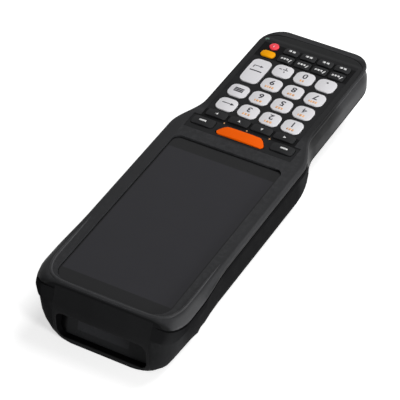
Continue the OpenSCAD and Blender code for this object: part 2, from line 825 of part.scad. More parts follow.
// The data port's mouth and socket, and the seat of its cover
module port_space() {
    translate([-port_width / 2, tail_y - over, port_z - port_height / 2])
        cube([port_width, port_front - tail_y + 2 * over, port_height]);
    translate([
        -port_cover_width / 2 - fit, tail_y - over, port_hinge_z - port_cover_thickness / 2 - fit
    ])
        cube([
            port_cover_width + 2 * fit,
            port_cover_thickness + over + fit,
            port_cover_height + port_cover_thickness / 2 + 2 * fit
        ]);
    translate([-port_socket_width / 2, port_front, port_z - port_socket_height / 2])
        cube([port_socket_width, port_length + port_socket_spare, port_socket_height]);
}

module front_housing() {
    color("#3a3b3d") difference() {
        union() {
            difference() {
                front_outer();
                front_hollow();
            }
            at_places(display_screws, boss_joint_z)
                cylinder(d = boss_diameter, h = cavity_top + eps - boss_joint_z);
        }
        nose_cover_space(0);
        at_places(display_screws, 0) cylinder(d = screw_diameter + fit, h = cavity_top - display_pilot_roof);
        at_places(grip_screws, 0) cylinder(d = screw_diameter + fit, h = body_height - pilot_roof);
        port_space();
    }
}

// Hollows for the boards, for the keypad and for the scanner
module rear_hollow() {
    translate([0, display_cavity_y, bay_roof_top])
        rounded_plate(
            display_cavity_width - 2 * rear_hollow_inset, display_cavity_length - 2 * rear_hollow_end_inset,
            rear_hollow_corner, open_up
        );
    translate([0, (grip_hollow_tail + grip_hollow_nose) / 2, tray_z + grip_floor])
        rounded_plate(
            2 * (field_half - field_ledge), grip_hollow_nose - grip_hollow_tail, grip_hollow_corner, open_up
        );
    translate([0, (scanner_hollow_rear + nose_box_rear) / 2, floor_z])
        rounded_plate(scanner_hollow_width, nose_box_rear - scanner_hollow_rear, bay_corner, open_up);
    translate([0, 0, keypad_board_bottom - eps]) linear_extrude(open_up) field_outline(-field_ledge);
}

module rear_housing() {
    color("#303133") difference() {
        union() {
            difference() {
                rear_outer();
                rear_hollow();
            }
            intersection() {
                rear_outer();
                at_places(display_screws, 0) cylinder(d = boss_diameter, h = boss_joint_z - boss_joint_gap);
            }
            posts(post_x, display_cavity_y, post_spread, bay_roof_top - post_sink, main_board_bottom);
            posts(
                keypad_post_x, (field_tail + field_step) / 2, keypad_post_spread,
                tray_z + grip_floor - post_sink, keypad_board_bottom
            );
        }
        nose_cover_space(0);
        // battery bay
        translate([0, battery_y, -over])
            rounded_plate(
                battery_width + 2 * battery_gap, battery_length + 2 * battery_gap,
                bay_corner, battery_ceiling + over
            );
        latch_seat();
        // screw holes with their counterbores
        at_places(display_screws, -over) {
            cylinder(d = screw_diameter + screw_hole_gap, h = body_height);
            cylinder(d = screw_head + screw_hole_gap, h = over + screw_seat + screw_head_height);
        }
        at_places(grip_screws, tray_z - over) {
            cylinder(d = screw_diameter + screw_hole_gap, h = body_height);
            cylinder(d = screw_head + screw_hole_gap, h = over + grip_screw_seat + screw_head_height);
        }
        // camera window, speaker slots and charging contacts
        translate([camera_x, camera_y, -over])
            cylinder(d = camera_window_diameter + 2 * fit, h = floor_z + 2 * over);
        for (i = [0 : slot_count - 1])
            translate([
                speaker_x - slot_length / 2,
                camera_y + (i - (slot_count - 1) / 2) * slot_pitch - slot_width / 2,
                -over
            ])
                cube([slot_length, slot_width, floor_z + 2 * over]);
        translate([0, dock_y, tray_z - over])
            rounded_plate(dock_width + 2 * fit, dock_length + 2 * fit, dock_corner, grip_floor + 2 * over);
    }
}

// Straight bore through the nose along its length, with the recess's middle
module recess_bore(width, height, corner) {
    translate([0, nose_box_rear - over, recess_z]) rotate([-90, 0, 0])
        rounded_plate(width, height, corner, nose_box_depth + 2 * over);
}

// Layer parallel to the tilted window, from behind its front face to in front of it
module window_slab(behind, ahead) {
    translate([0, nose_y - recess_depth, recess_floor]) rotate([window_tilt, 0, 0])
        translate([-recess_width, -behind, -recess_height])
            cube([2 * recess_width, behind + ahead, 3 * recess_height]);
}

// Nose cover with the scan recess and the seat of the window
module nose_cover() {
    color("#37383a") difference() {
        intersection() {
            union() {
                front_outer();
                rear_outer();
            }
            nose_cover_space(-fit / 2);
        }
        intersection() {
            recess_bore(recess_width, recess_height, recess_corner);
            window_slab(window_thickness + fit, nose_box_depth);
        }
        recess_bore(
            recess_width - 2 * window_seat, recess_height - 2 * window_seat, recess_corner - seat_corner_trim
        );
    }
}

module scan_window() {
    color("#20242a", 0.7) intersection() {
        recess_bore(window_width, window_height, recess_corner - fit);
        window_slab(window_thickness, 0);
    }
}

// Camera-type scan engine with an aimer and an imager lens
module scan_engine() {
    lens_d = engine_height - lens_rim;
    color("#9a9da2") difference() {
        translate([engine_offset - engine_width / 2, engine_rear, engine_z])
            cube([engine_width, engine_depth, engine_height]);
        for (side = [-1, 1])
            translate([engine_offset + side * lens_place * engine_width, engine_front - lens_depth, recess_z])
                rotate([-90, 0, 0]) cylinder(d1 = lens_d - lens_taper, d2 = lens_d, h = lens_depth + eps);
    }
}

// Angle that carries the scan engine on two legs
module engine_bracket() {
    base_z = engine_z - bracket_thickness;
    color("#8d9095") translate([engine_offset, engine_rear, 0]) {
        translate([-engine_width / 2, 0, base_z]) cube([engine_width, engine_depth, bracket_thickness]);
        translate([-engine_width / 2, -bracket_thickness, base_z])
            cube([engine_width, bracket_thickness, engine_height + bracket_thickness]);
        for (side = [-1, 1])
            translate([side * bracket_leg_place * engine_width, engine_depth / 2, floor_z])
                cylinder(d = bracket_leg, h = base_z - floor_z + eps);
    }
}

// ---------- Display ----------
module display_glass() {
    color("#17181b") translate([0, 0, glass_bottom]) linear_extrude(glass_thickness) glass_outline(0);
}

module glass_gasket() {
    color("#101010") translate([0, 0, glass_ledge]) difference() {
        linear_extrude(gasket_thickness) glass_outline(0);
        translate([0, lcd_y, -over])
            rounded_plate(lcd_width + 2 * lcd_gap, lcd_length + 2 * lcd_gap, lcd_corner + lcd_gap, open_up);
    }
}

module lcd_module() {
    color("#2b2e33") translate([0, lcd_y, lcd_bottom])
        rounded_plate(lcd_width, lcd_length, lcd_corner, lcd_thickness);
}

module mid_plate() {
    color("#a7aaad") difference() {
        translate([0, display_cavity_y, plate_bottom])
            rounded_plate(
                display_cavity_width - 2 * lcd_gap, display_cavity_length - 2 * lcd_gap,
                cavity_corner - lcd_gap, plate_thickness
            );
        at_places(display_screws, 0) cylinder(d = boss_diameter + screw_hole_gap, h = body_height);
    }
}

module main_board() {
    color("#1f5a3a") {
        difference() {
            translate([0, display_cavity_y + board_shift, main_board_bottom])
                rounded_plate(
                    display_cavity_width - 2 * board_inset, board_length, board_corner, board_thickness
                );
            at_places(display_screws, 0) cylinder(d = boss_diameter + screw_hole_gap, h = body_height);
        }
        for (y = chip_places)
            translate([
                -chip_width / 2,
                display_cavity_y + board_shift + y * board_length - chip_length / 2,
                main_board_bottom + board_thickness - eps
            ])
                cube([chip_width, chip_length, chip_height]);
    }
}

// ---------- Keypad ----------
module scan_key_outline(margin) {
    half = scan_key_width / 2 + margin;
    foot = scan_key_foot / 2 + margin;
    top = scan_key_length / 2 + margin;
    right = [
        [foot - scan_key_bevel, -top], [foot, scan_key_bevel - top],
        [half, top - scan_key_bevel], [half - scan_key_bevel, top]
    ];
    polygon(concat(right, [for (i = [3 : -1 : 0]) [-right[i][0], right[i][1]]]));
}

module key_outline(k, margin) {
    translate([k[1], k[2]]) rounded_rectangle(k[3] + 2 * margin, k[4] + 2 * margin, k[5] + margin);
}

// Sphere whose top leaves a key's middle at full height and its corners key_crown lower
module key_crown_ball(width, length) {
    reach = (pow(width, 2) + pow(length, 2)) / 4;
    radius = (reach + pow(key_crown, 2)) / (2 * key_crown);
    translate([0, 0, body_height + key_stand - radius]) sphere(radius, $fn = 256);
}

// Key body with its crowned top, its flange and its plunger, from an outline given as a child
module key_body(x, y, width, length) {
    intersection() {
        translate([0, 0, flange_bottom]) linear_extrude(open_up) children(0);
        translate([x, y, 0]) key_crown_ball(width, length);
    }
    translate([0, 0, flange_bottom]) linear_extrude(flange_thickness) children(1);
    translate([x, y, plunger_bottom]) cylinder(d = plunger_diameter, h = plunger_length + eps);
}

module plain_key(k) {
    color(k[6]) key_body(k[1], k[2], k[3], k[4]) {
        key_outline(k, 0);
        key_outline(k, flange_overhang);
    }
}

module key_scan() {
    color("#ff6400") key_body(0, scan_y, scan_key_width, scan_key_length) {
        translate([0, scan_y]) scan_key_outline(0);
        translate([0, scan_y]) scan_key_outline(flange_overhang);
    }
}

// Keypad frame with one opening for each key
module keypad_frame() {
    color("#37383a") difference() {
        translate([0, 0, frame_bottom]) linear_extrude(frame_thickness) field_outline(0);
        translate([0, 0, frame_bottom - over]) linear_extrude(open_up) {
            for (k = plain_keys) key_outline(k, key_gap);
            translate([0, scan_y]) scan_key_outline(key_gap);
        }
    }
}

module keypad_plan() {
    offset_in = field_ledge + keypad_board_inset;
    translate([offset_in - field_half, field_tail + offset_in])
        square([2 * (field_half - offset_in), field_head - field_tail - 2 * offset_in]);
    translate([offset_in - field_wide_half, field_step + offset_in])
        square([2 * (field_wide_half - offset_in), field_head - field_step - 2 * offset_in]);
}

module dome_sheet() {
    places = concat([[0, scan_y]], [for (k = plain_keys) [k[1], k[2]]]);
    color("silver") {
        translate([0, 0, keypad_board_top]) linear_extrude(dome_sheet_thickness) keypad_plan();
        at_places(places, dome_sheet_top - eps)
            cylinder(d1 = dome_diameter, d2 = dome_diameter / 2, h = dome_height + eps);
    }
}

module keypad_board() {
    color("#1f5a3a")
        translate([0, 0, keypad_board_bottom]) linear_extrude(board_thickness) keypad_plan();
}

// ---------- Battery ----------
module battery_pack() {
    color("#2c2d2f") difference() {
        translate([0, battery_y, 0])
            rounded_plate(battery_width, battery_length, bay_corner - battery_gap, battery_thickness);
        // notch for the latch tongue
        translate([
            -tongue_width / 2 - notch_gap, battery_front - latch_reach - notch_gap, tongue_z - notch_gap
        ])
            cube([
                tongue_width + 2 * notch_gap,
                latch_reach + notch_gap + over,
                tongue_thickness + 2 * notch_gap
            ]);
        // shallow grip lines across the cover
        for (i = [0 : pack_line_count - 1])
            translate([
                -pack_line_length / 2,
                battery_y + (i - (pack_line_count - 1) / 2) * pack_line_pitch - pack_line_width / 2,
                -over
            ])
                cube([pack_line_length, pack_line_width, over + grip_line_depth]);
    }
}

module battery_contacts() {
    color("goldenrod") for (i = [0 : contact_count - 1])
        translate([
            (i - (contact_count - 1) / 2) * contact_pitch - contact_width / 2,
            battery_rear + contact_from_rear,
            battery_thickness
        ])
            cube([contact_width, contact_length, battery_gap]);
}

// Slot for the latch with grooves for its wings and a passage for its tongue
module latch_seat() {
    slot_rear = latch_rear - latch_gap;
    slot_run = latch_length + latch_gap + latch_travel + latch_stop_gap;
    slot_top = latch_sink + latch_thickness + latch_headroom;
    translate([-latch_width / 2 - latch_side_gap, slot_rear, -over])
        cube([latch_width + 2 * latch_side_gap, slot_run, over + slot_top]);
    translate([-latch_width / 2 - latch_wing - latch_side_gap, slot_rear, latch_lip])
        cube([latch_width + 2 * (latch_wing + latch_side_gap), slot_run, slot_top - latch_lip]);
    translate([-tongue_width / 2 - latch_side_gap, battery_front - over, tongue_z - latch_side_gap])
        cube([
            tongue_width + 2 * latch_side_gap,
            slot_rear - battery_front + 2 * over,
            tongue_thickness + 2 * latch_side_gap
        ]);
}

// Sliding latch: thumb pad with grip lines, side wings and the tongue that holds the battery
module battery_latch() {
    tongue_tip = battery_front - latch_reach;
    wing_z = latch_lip + latch_side_gap;
    color("#46484b") difference() {
        union() {
            translate([-latch_width / 2, latch_rear, latch_sink])
                cube([latch_width, latch_length, latch_thickness]);
            translate([-latch_width / 2 - latch_wing, latch_rear, wing_z])
                cube([latch_width + 2 * latch_wing, latch_length, latch_sink + latch_thickness - wing_z]);
            translate([-tongue_width / 2, tongue_tip, tongue_z])
                cube([tongue_width, latch_rear - tongue_tip + over, tongue_thickness]);
        }
        for (i = [0 : grip_line_count - 1])
            translate([
                -tongue_width / 2,
                latch_y + (i - (grip_line_count - 1) / 2) * grip_line_pitch - grip_line_width / 2,
                latch_sink - over
            ])
                cube([tongue_width, grip_line_width, over + grip_line_depth]);
    }
}

// ---------- Small inner pieces ----------
module speaker() {
    color("dimgray") translate([speaker_x - speaker_size / 2, camera_y - speaker_size / 2, floor_z])
        cube([speaker_size, speaker_size, speaker_height]);
}

module camera_module() {
    color("dimgray") translate([camera_x - camera_size / 2, camera_y - camera_size / 2, floor_z])
        cube([camera_size, camera_size, camera_height]);
}

module camera_window() {
    color("#15171a") translate([camera_x, camera_y, camera_window_sink])
        cylinder(d = camera_window_diameter, h = floor_z - camera_window_sink);
}

module vibration_motor() {
    color("silver") translate([camera_x, motor_y, floor_z]) cylinder(d = motor_diameter, h = motor_height);
}

module data_port() {
    mouth_w = port_width - 2 * port_wall;
    mouth_h = port_height - 2 * port_wall;
    color("silver") translate([0, port_front, port_z]) rotate([-90, 0, 0]) difference() {
        rounded_plate(port_width, port_height, port_height / 2 - eps, port_length);
        translate([0, 0, -over]) rounded_plate(mouth_w, mouth_h, mouth_h / 2 - eps, port_length);
    }
}

// Rubber flap with a plug that fits the port and a round hinge edge at its foot
module port_cover() {
    color("#2a2a2b") {
        translate([-port_cover_width / 2, tail_y, port_hinge_z])
            cube([port_cover_width, port_cover_thickness, port_cover_height]);
        translate([-port_cover_width / 2, port_hinge_y, port_hinge_z]) rotate([0, 90, 0])
            cylinder(d = port_cover_thickness, h = port_cover_width);
        translate([
            port_plug_gap - port_width / 2,
            tail_y + port_cover_thickness - eps,
            port_z + port_plug_gap - port_height / 2
        ])
            cube([port_width - 2 * port_plug_gap, port_plug_depth, port_height - 2 * port_plug_gap]);
    }
}

module dock_contacts() {
    color("goldenrod") translate([0, dock_y, tray_z + dock_sink]) {
        for (i = [0 : dock_pad_count - 1])
            translate([
                (i - (dock_pad_count - 1) / 2) * dock_pad_pitch - dock_pad_width / 2, -dock_pad_length / 2, 0
            ])
                cube([dock_pad_width, dock_pad_length, dock_pad_height]);
        translate([0, 0, dock_pad_height])
            rounded_plate(dock_width, dock_length, dock_corner, grip_floor - dock_sink - dock_pad_height);
    }
}

module screw(length) {
    cylinder(d = screw_diameter, h = length);
    difference() {
        cylinder(d = screw_head, h = screw_head_height);
        translate([0, 0, -over]) cylinder(d = screw_head / 2, h = over + socket_depth, $fn = 6);
    }
}

module housing_screws() {
    color("#b9bbbe") {
        at_places(display_screws, screw_seat) screw(screw_length);
        at_places(grip_screws, tray_z + grip_screw_seat) screw(grip_screw_length);
    }
}

front_housing();
rear_housing();
nose_cover();
display_glass();
glass_gasket();
lcd_module();
mid_plate();
main_board();
keypad_frame();
dome_sheet();
keypad_board();
scan_window();
scan_engine();
engine_bracket();
battery_pack();
battery_contacts();
battery_latch();
speaker();
camera_module();
camera_window();
vibration_motor();
data_port();
port_cover();
dock_contacts();
housing_screws();
key_scan();
for (k = plain_keys) {
    plain_key(k);
}
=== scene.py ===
"""Looks of the portable barcode data terminal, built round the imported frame."""
import json
import math

import bmesh
import bpy
from mathutils import Matrix, Vector, geometry
from mathutils.bvhtree import BVHTree

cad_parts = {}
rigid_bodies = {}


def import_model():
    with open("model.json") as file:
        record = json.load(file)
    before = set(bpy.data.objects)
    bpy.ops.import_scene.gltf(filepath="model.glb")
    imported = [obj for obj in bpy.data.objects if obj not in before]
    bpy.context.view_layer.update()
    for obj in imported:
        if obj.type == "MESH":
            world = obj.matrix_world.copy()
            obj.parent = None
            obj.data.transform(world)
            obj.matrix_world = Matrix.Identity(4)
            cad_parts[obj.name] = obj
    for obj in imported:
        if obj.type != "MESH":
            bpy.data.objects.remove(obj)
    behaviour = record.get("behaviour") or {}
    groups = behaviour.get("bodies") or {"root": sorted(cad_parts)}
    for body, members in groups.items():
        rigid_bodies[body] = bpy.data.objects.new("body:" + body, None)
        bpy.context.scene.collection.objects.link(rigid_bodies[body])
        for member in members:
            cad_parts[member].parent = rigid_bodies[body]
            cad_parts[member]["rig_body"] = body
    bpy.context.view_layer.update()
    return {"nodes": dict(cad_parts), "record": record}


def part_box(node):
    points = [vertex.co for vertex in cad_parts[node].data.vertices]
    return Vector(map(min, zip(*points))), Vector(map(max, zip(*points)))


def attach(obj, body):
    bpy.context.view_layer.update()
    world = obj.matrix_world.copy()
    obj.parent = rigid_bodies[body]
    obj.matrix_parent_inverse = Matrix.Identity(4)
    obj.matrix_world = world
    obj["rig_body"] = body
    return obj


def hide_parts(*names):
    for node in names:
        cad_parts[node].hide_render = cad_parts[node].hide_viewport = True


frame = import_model()
NODES = frame["nodes"]
MM = 0.001

# ---------------------------------------------------------------- materials


class Shader:
    """Small helper that wires a principled material."""

    def __init__(self, name):
        self.mat = bpy.data.materials.new(name)
        self.mat.use_nodes = True
        self.tree = self.mat.node_tree
        self.tree.nodes.clear()
        out = self.add("ShaderNodeOutputMaterial")
        self.bsdf = self.add("ShaderNodeBsdfPrincipled")
        self.link(self.bsdf.outputs[0], out.inputs[0])
        self.coord = self.add("ShaderNodeTexCoord")

    def add(self, kind, **values):
        node = self.tree.nodes.new(kind)
        for key, value in values.items():
            setattr(node, key, value)
        return node

    def link(self, a, b):
        self.tree.links.new(a, b)

    def noise(self, scale, detail, rough, stretch=None):
        node = self.add("ShaderNodeTexNoise")
        node.inputs["Scale"].default_value = scale
        node.inputs["Detail"].default_value = detail
        node.inputs["Roughness"].default_value = rough
        source = self.coord.outputs["Object"]
        if stretch:
            mapping = self.add("ShaderNodeMapping")
            mapping.inputs["Scale"].default_value = stretch
            self.link(source, mapping.inputs[0])
            source = mapping.outputs[0]
        self.link(source, node.inputs["Vector"])
        return node.outputs["Fac"]

    def ramp(self, fac, stops):
        node = self.add("ShaderNodeValToRGB")
        ramp = node.color_ramp
        while len(ramp.elements) < len(stops):
            ramp.elements.new(0.5)
        for element, (place, colour) in zip(ramp.elements, stops):
            element.position = place
            element.color = (*colour, 1)
        self.link(fac, node.inputs[0])
        return node.outputs[0]

    def remap(self, fac, low, high, from_low=0.0, from_high=1.0):
        node = self.add("ShaderNodeMapRange")
        node.inputs["From Min"].default_value = from_low
        node.inputs["From Max"].default_value = from_high
        node.inputs["To Min"].default_value = low
        node.inputs["To Max"].default_value = high
        self.link(fac, node.inputs["Value"])
        return node.outputs[0]

    def math(self, operation, a, b):
        node = self.add("ShaderNodeMath", operation=operation)
        for socket, value in zip(node.inputs, (a, b)):
            if isinstance(value, (int, float)):
                socket.default_value = value
            else:
                self.link(value, socket)
        return node.outputs[0]

    def blend(self, fac, a, b):
        """Mix of two colours, each a plain tuple or a socket."""
        node = self.add("ShaderNodeMix", data_type="RGBA")
        self.link(fac, node.inputs["Factor"])
        for name, value in (("A", a), ("B", b)):
            if isinstance(value, tuple):
                node.inputs[name].default_value = (*value, 1)
            else:
                self.link(value, node.inputs[name])
        return node.outputs["Result"]

    def inside(self, axis_spans):
        """1 inside a box of {axis: (low, high, softness of its edge)}, in object millimetres."""
        split = self.add("ShaderNodeSeparateXYZ")
        self.link(self.coord.outputs["Object"], split.inputs[0])
        total = None
        for axis, (low, high, soft) in axis_spans.items():
            place = split.outputs["XYZ".index(axis)]
            rise = self.remap(place, 0, 1, (low - soft) * MM, (low + soft) * MM)
            fall = self.remap(place, 1, 0, (high - soft) * MM, (high + soft) * MM)
            both = self.math("MULTIPLY", rise, fall)
            total = both if total is None else self.math("MULTIPLY", total, both)
        return total

    def bump(self, height, strength, distance):
        node = self.add("ShaderNodeBump")
        node.inputs["Strength"].default_value = strength
        node.inputs["Distance"].default_value = distance
        self.link(height, node.inputs["Height"])
        self.link(node.outputs[0], self.bsdf.inputs["Normal"])


def scaled(colour, k):
    """A colour made brighter or darker by a factor."""
    return tuple(min(1.0, c * k) for c in colour)


# Noise scales, in cells per metre
CLOUD_SCALE = 38
WEAR_SCALE = 420
GLOSS_SCALE = 150
STREAK_SCALE = 900
SMUDGE_SCALE = 60
WAVE_SCALE = 25
# Depths of relief, in metres
GRAIN_DEPTH = 0.00006
STREAK_DEPTH = 0.00003
WAVE_DEPTH = 0.0002
# How far the roughness of plastic and of glass strays
PLASTIC_SPREAD = 0.07
GLASS_SPREAD = 0.12
# Wear brightens edges by this factor, from the first to the second value of pointiness
WEAR_GAIN = 2.2
WEAR_FROM, WEAR_FULL = 0.53, 0.6


def plastic(
    name, colour, rough, grain=2600, bump=0.25, spread=0.12, gloss=0.5, wear=0.0, areas=()
):
    """Moulded plastic: cloudy colour, fine grain, uneven gloss and slight wear on its edges.

    areas are (box, colour) pairs, laid over the base colour in their order.
    """
    s = Shader(name)
    cloud = s.noise(CLOUD_SCALE, 4, 0.6)
    tone = s.ramp(cloud, [(0.3, scaled(colour, 1 - spread)), (0.7, scaled(colour, 1 + spread))])
    if wear:
        pointiness = s.add("ShaderNodeNewGeometry").outputs["Pointiness"]
        edge = s.remap(pointiness, 0, 1, WEAR_FROM, WEAR_FULL)
        patch = s.remap(s.noise(WEAR_SCALE, 4, 0.7), 0, wear, 0.45, 0.7)
        tone = s.blend(s.math("MULTIPLY", edge, patch), tone, scaled(colour, WEAR_GAIN))
    for box, area_colour in areas:
        tone = s.blend(s.inside(box), tone, area_colour)
    s.link(tone, s.bsdf.inputs["Base Color"])
    uneven = s.noise(GLOSS_SCALE, 5, 0.6)
    roughness = s.remap(uneven, rough - PLASTIC_SPREAD, rough + PLASTIC_SPREAD, 0.3, 0.7)
    s.link(roughness, s.bsdf.inputs["Roughness"])
    s.bsdf.inputs["Specular IOR Level"].default_value = gloss
    s.bump(s.noise(grain, 2, 0.55), bump, GRAIN_DEPTH)
    return s.mat


def metal(name, colour, rough=0.35, stretch=(1, 40, 1)):
    """Brushed metal with streaks along one direction."""
    s = Shader(name)
    streak = s.noise(STREAK_SCALE, 4, 0.6, stretch)
    tone = s.ramp(streak, [(0.35, scaled(colour, 0.85)), (0.65, scaled(colour, 1.08))])
    s.link(tone, s.bsdf.inputs["Base Color"])
    s.link(s.remap(streak, rough - 0.08, rough + 0.1), s.bsdf.inputs["Roughness"])
    s.bsdf.inputs["Metallic"].default_value = 1
    s.bump(streak, 0.15, STREAK_DEPTH)
    return s.mat


def glassy(name, colour, rough, cloud_scale, gloss=0.2, areas=()):
    """Dark coated glass with faint smudges in its gloss; areas are (box, colour) seen behind it."""
    s = Shader(name)
    cloud = s.noise(cloud_scale, 3, 0.5)
    tone = s.ramp(cloud, [(0.3, scaled(colour, 0.94)), (0.7, scaled(colour, 1.06))])
    for box, area_colour in areas:
        tone = s.blend(s.inside(box), tone, area_colour)
    s.link(tone, s.bsdf.inputs["Base Color"])
    smudges = s.noise(SMUDGE_SCALE, 5, 0.65)
    roughness = s.remap(smudges, rough, rough + GLASS_SPREAD, 0.35, 0.75)
    s.link(roughness, s.bsdf.inputs["Roughness"])
    s.bsdf.inputs["Specular IOR Level"].default_value = gloss
    s.bump(s.noise(WAVE_SCALE, 2, 0.5), 0.03, WAVE_DEPTH)
    return s.mat


# What the pale and coloured keys have in common, and what the prints have
KEY_FINISH = {"rough": 0.42, "grain": 2200, "bump": 0.15}
PRINT_FINISH = {"rough": 0.6, "grain": 3000, "bump": 0.1}

CHARCOAL = (0.029, 0.0293, 0.031)
GRAPHITE = (0.012, 0.0122, 0.013)
DISPLAY_GREY = (0.0235, 0.0232, 0.0272)
ENGINE_DARK = (0.014, 0.0145, 0.0155)
ENGINE_PALE = (0.026, 0.0265, 0.029)

MATS = {
    "housing_plastic": plastic("housing_plastic", CHARCOAL, 0.46, gloss=0.05, wear=0.35),
    "lower_housing_plastic": plastic(
        "lower_housing_plastic", GRAPHITE, 0.62, gloss=0.01, wear=0.3
    ),
    "black_foam": plastic(
        "black_foam", (0.008, 0.008, 0.008), 0.9, grain=1500, bump=0.6, gloss=0.05
    ),
    "sheet_metal": metal("sheet_metal", (0.62, 0.63, 0.64)),
    "circuit_board": plastic("circuit_board", (0.02, 0.16, 0.07), 0.35, grain=700, bump=0.1),
    "engine_housing": plastic("engine_housing", (0.1, 0.1, 0.11), 0.5),
    "battery_plastic": plastic(
        "battery_plastic", (0.012, 0.0125, 0.0135), 0.6, gloss=0.02, wear=0.3
    ),
    "gold_contacts": metal("gold_contacts", (0.83, 0.62, 0.24), 0.25),
    "latch_plastic": plastic(
        "latch_plastic", (0.035, 0.036, 0.039), 0.5, gloss=0.2, wear=0.3
    ),
    "soft_rubber": plastic(
        "soft_rubber", (0.014, 0.014, 0.015), 0.75, grain=1800, bump=0.4, gloss=0.1
    ),
    "screw_steel": metal("screw_steel", (0.5, 0.5, 0.51), 0.3, stretch=(30, 30, 30)),
    "white_keys": plastic(
        "white_keys", (0.76, 0.75, 0.775), **KEY_FINISH, spread=0.03, gloss=0.3
    ),
    "dark_keys": plastic(
        "dark_keys", (0.0125, 0.0128, 0.0138), 0.45, grain=2200, bump=0.2, spread=0.08, gloss=0.08
    ),
    "orange_key": plastic(
        "orange_key", (1.0, 0.125, 0.001), **KEY_FINISH, spread=0.04, gloss=0.05
    ),
    "amber_key": plastic("amber_key", (1.0, 0.4, 0.002), **KEY_FINISH, spread=0.04, gloss=0.05),
    "red_key": plastic("red_key", (0.94, 0.06, 0.085), **KEY_FINISH, spread=0.04, gloss=0.2),
    "cover_glass": glassy("cover_glass", (0.012, 0.0121, 0.013), 0.16, 20, gloss=0.12, areas=[
        # The display's active area
        ({"X": (-28.4, 28.4, 0.2), "Y": (-2.6, 92.6, 0.2)}, DISPLAY_GREY),
    ]),
    "display_panel": glassy("display_panel", (0.05, 0.052, 0.056), 0.3, 15),
    "scan_window_glass": glassy("scan_window_glass", (0.003, 0.003, 0.0033), 0.22, 60, 0.05, areas=[
        # The scan engine's faint face
        ({"X": (-22, 20.6, 0.5), "Z": (2, 20, 0.2)}, ENGINE_DARK),
        ({"X": (-12, 15, 0.3), "Z": (6, 15, 0.3)}, ENGINE_PALE),
    ]),
    "camera_glass": glassy("camera_glass", (0.01, 0.01, 0.012), 0.05, 60, gloss=0.4),
}
# Prints on the keys and the frame, and the status light's lens
INK = {
    "dark": plastic("dark_print", (0.03, 0.03, 0.038), **PRINT_FINISH, spread=0.1, gloss=0.1),
    "white": plastic("white_print", (0.72, 0.72, 0.72), **PRINT_FINISH, spread=0.03, gloss=0.2),
    "orange": plastic(
        "orange_print", (0.86, 0.47, 0.23), **PRINT_FINISH, spread=0.05, gloss=0.1
    ),
    "green": plastic("status_lens", (0.05, 0.13, 0.09), 0.2, grain=900, bump=0.05, spread=0.2),
}

SHADOW_BLACK = (0.0066, 0.0066, 0.007)
RECESS_PAINTED_SHADE = (0.002, 0.002, 0.0022)
DARK_PAINTED_SHADE = (0.009, 0.0091, 0.0095)
WAIST_PAINTED_SHADE = (0.0105, 0.0106, 0.011)
TAIL_PAINTED_SHADE = (0.011, 0.0112, 0.0118)
DEEP_GREY = (0.014, 0.0142, 0.0148)
SIDE_PAINTED_SHADE = (0.016, 0.0162, 0.017)
TRAY_GREY = (0.017, 0.0172, 0.018)
GRIP_PAINTED_SHADE = (0.019, 0.0192, 0.02)
PANEL_GREY = (0.023, 0.0232, 0.0242)
BUMPER_PAINTED_HIGHLIGHT = (0.045, 0.0455, 0.047)
GRIP_WALL_PAINTED_LIGHT = (0.052, 0.0524, 0.054)

# Height at the nose where the charcoal lip ends and the skirt's near-black painted shade starts
LIP_Z = 27.9

# The panel is darker round the function keys and the arrow keys, as painted shade
KEYPAD_PANEL = plastic("keypad_panel", PANEL_GREY, 0.6, gloss=0.02, areas=[
    ({"Y": (-94.4, -82.4, 0.4)}, DARK_PAINTED_SHADE),
    ({"Y": (-34.4, -27.8, 0.4)}, DARK_PAINTED_SHADE),
])
FRONT_PLASTIC = plastic("front_moulding", CHARCOAL, 0.46, gloss=0.05, wear=0.35, areas=[
    # Painted highlight on the bumper's corners
    ({"X": (-45, -33.5, 1.5), "Y": (79, 104, 5), "Z": (LIP_Z, 30.8, 0.3)}, BUMPER_PAINTED_HIGHLIGHT),
    ({"X": (33.5, 45, 1.5), "Y": (79, 104, 5), "Z": (LIP_Z, 30.8, 0.3)}, BUMPER_PAINTED_HIGHLIGHT),
    # Painted shade on the side walls, darker than the face, and darkest at the waist
    ({"Y": (-70, 77, 4), "Z": (10, 29.5, 0.5)}, SIDE_PAINTED_SHADE),
    ({"Y": (-42, 70, 3), "Z": (10, 29.3, 0.4)}, WAIST_PAINTED_SHADE),
    ({"Y": (-66, -38, 5), "Z": (23, 30.9, 0.3)}, DARK_PAINTED_SHADE),
    # Painted light on the lower half of the grip's walls
    ({"Y": (-112, -64, 8), "Z": (10, 23.4, 1.2)}, GRIP_WALL_PAINTED_LIGHT),
    # Painted shade on the nose face, the grip's face and the strip between the keypad and the tail
    ({"Y": (102.7, 120, 0.4)}, DEEP_GREY),
    ({"Y": (-118, -36, 3), "Z": (30.72, 40, 0.1)}, GRIP_PAINTED_SHADE),
    ({"X": (-27.8, 27.8, 0.6), "Y": (-104, -98.6, 0.6), "Z": (29.6, 40, 0.1)}, TAIL_PAINTED_SHADE),
])
# The skirt below the lip: painted shade, near black, fading to grey towards the nose
SKIRT_SHADE_PLASTIC = plastic("skirt_painted_shade", SHADOW_BLACK, 0.7, gloss=0.002, areas=[
    ({"Y": (101, 140, 4)}, DEEP_GREY),
])
REAR_PLASTIC = plastic("rear_moulding", DEEP_GREY, 0.66, gloss=0.008, wear=0.3, areas=[
    # Painted shade, near black, below the display under the skirt's overhang; a paler grey below
    # the grip
    ({"Y": (-22, 93, 3)}, SHADOW_BLACK),
    ({"Y": (-130, -24, 3)}, TRAY_GREY),
])
NOSE_PLASTIC = plastic("nose_moulding", DEEP_GREY, 0.5, gloss=0.02, wear=0.35, areas=[
    # Painted shade, near black, inside the scan recess
    ({"X": (-24.1, 24.1, 0.1), "Y": (80, 107.55, 0.15), "Z": (1.9, 18.4, 0.1)}, RECESS_PAINTED_SHADE),
])

SLOT_OF = {part["node"]: part["material_slot"] for part in frame["record"]["subparts"]}

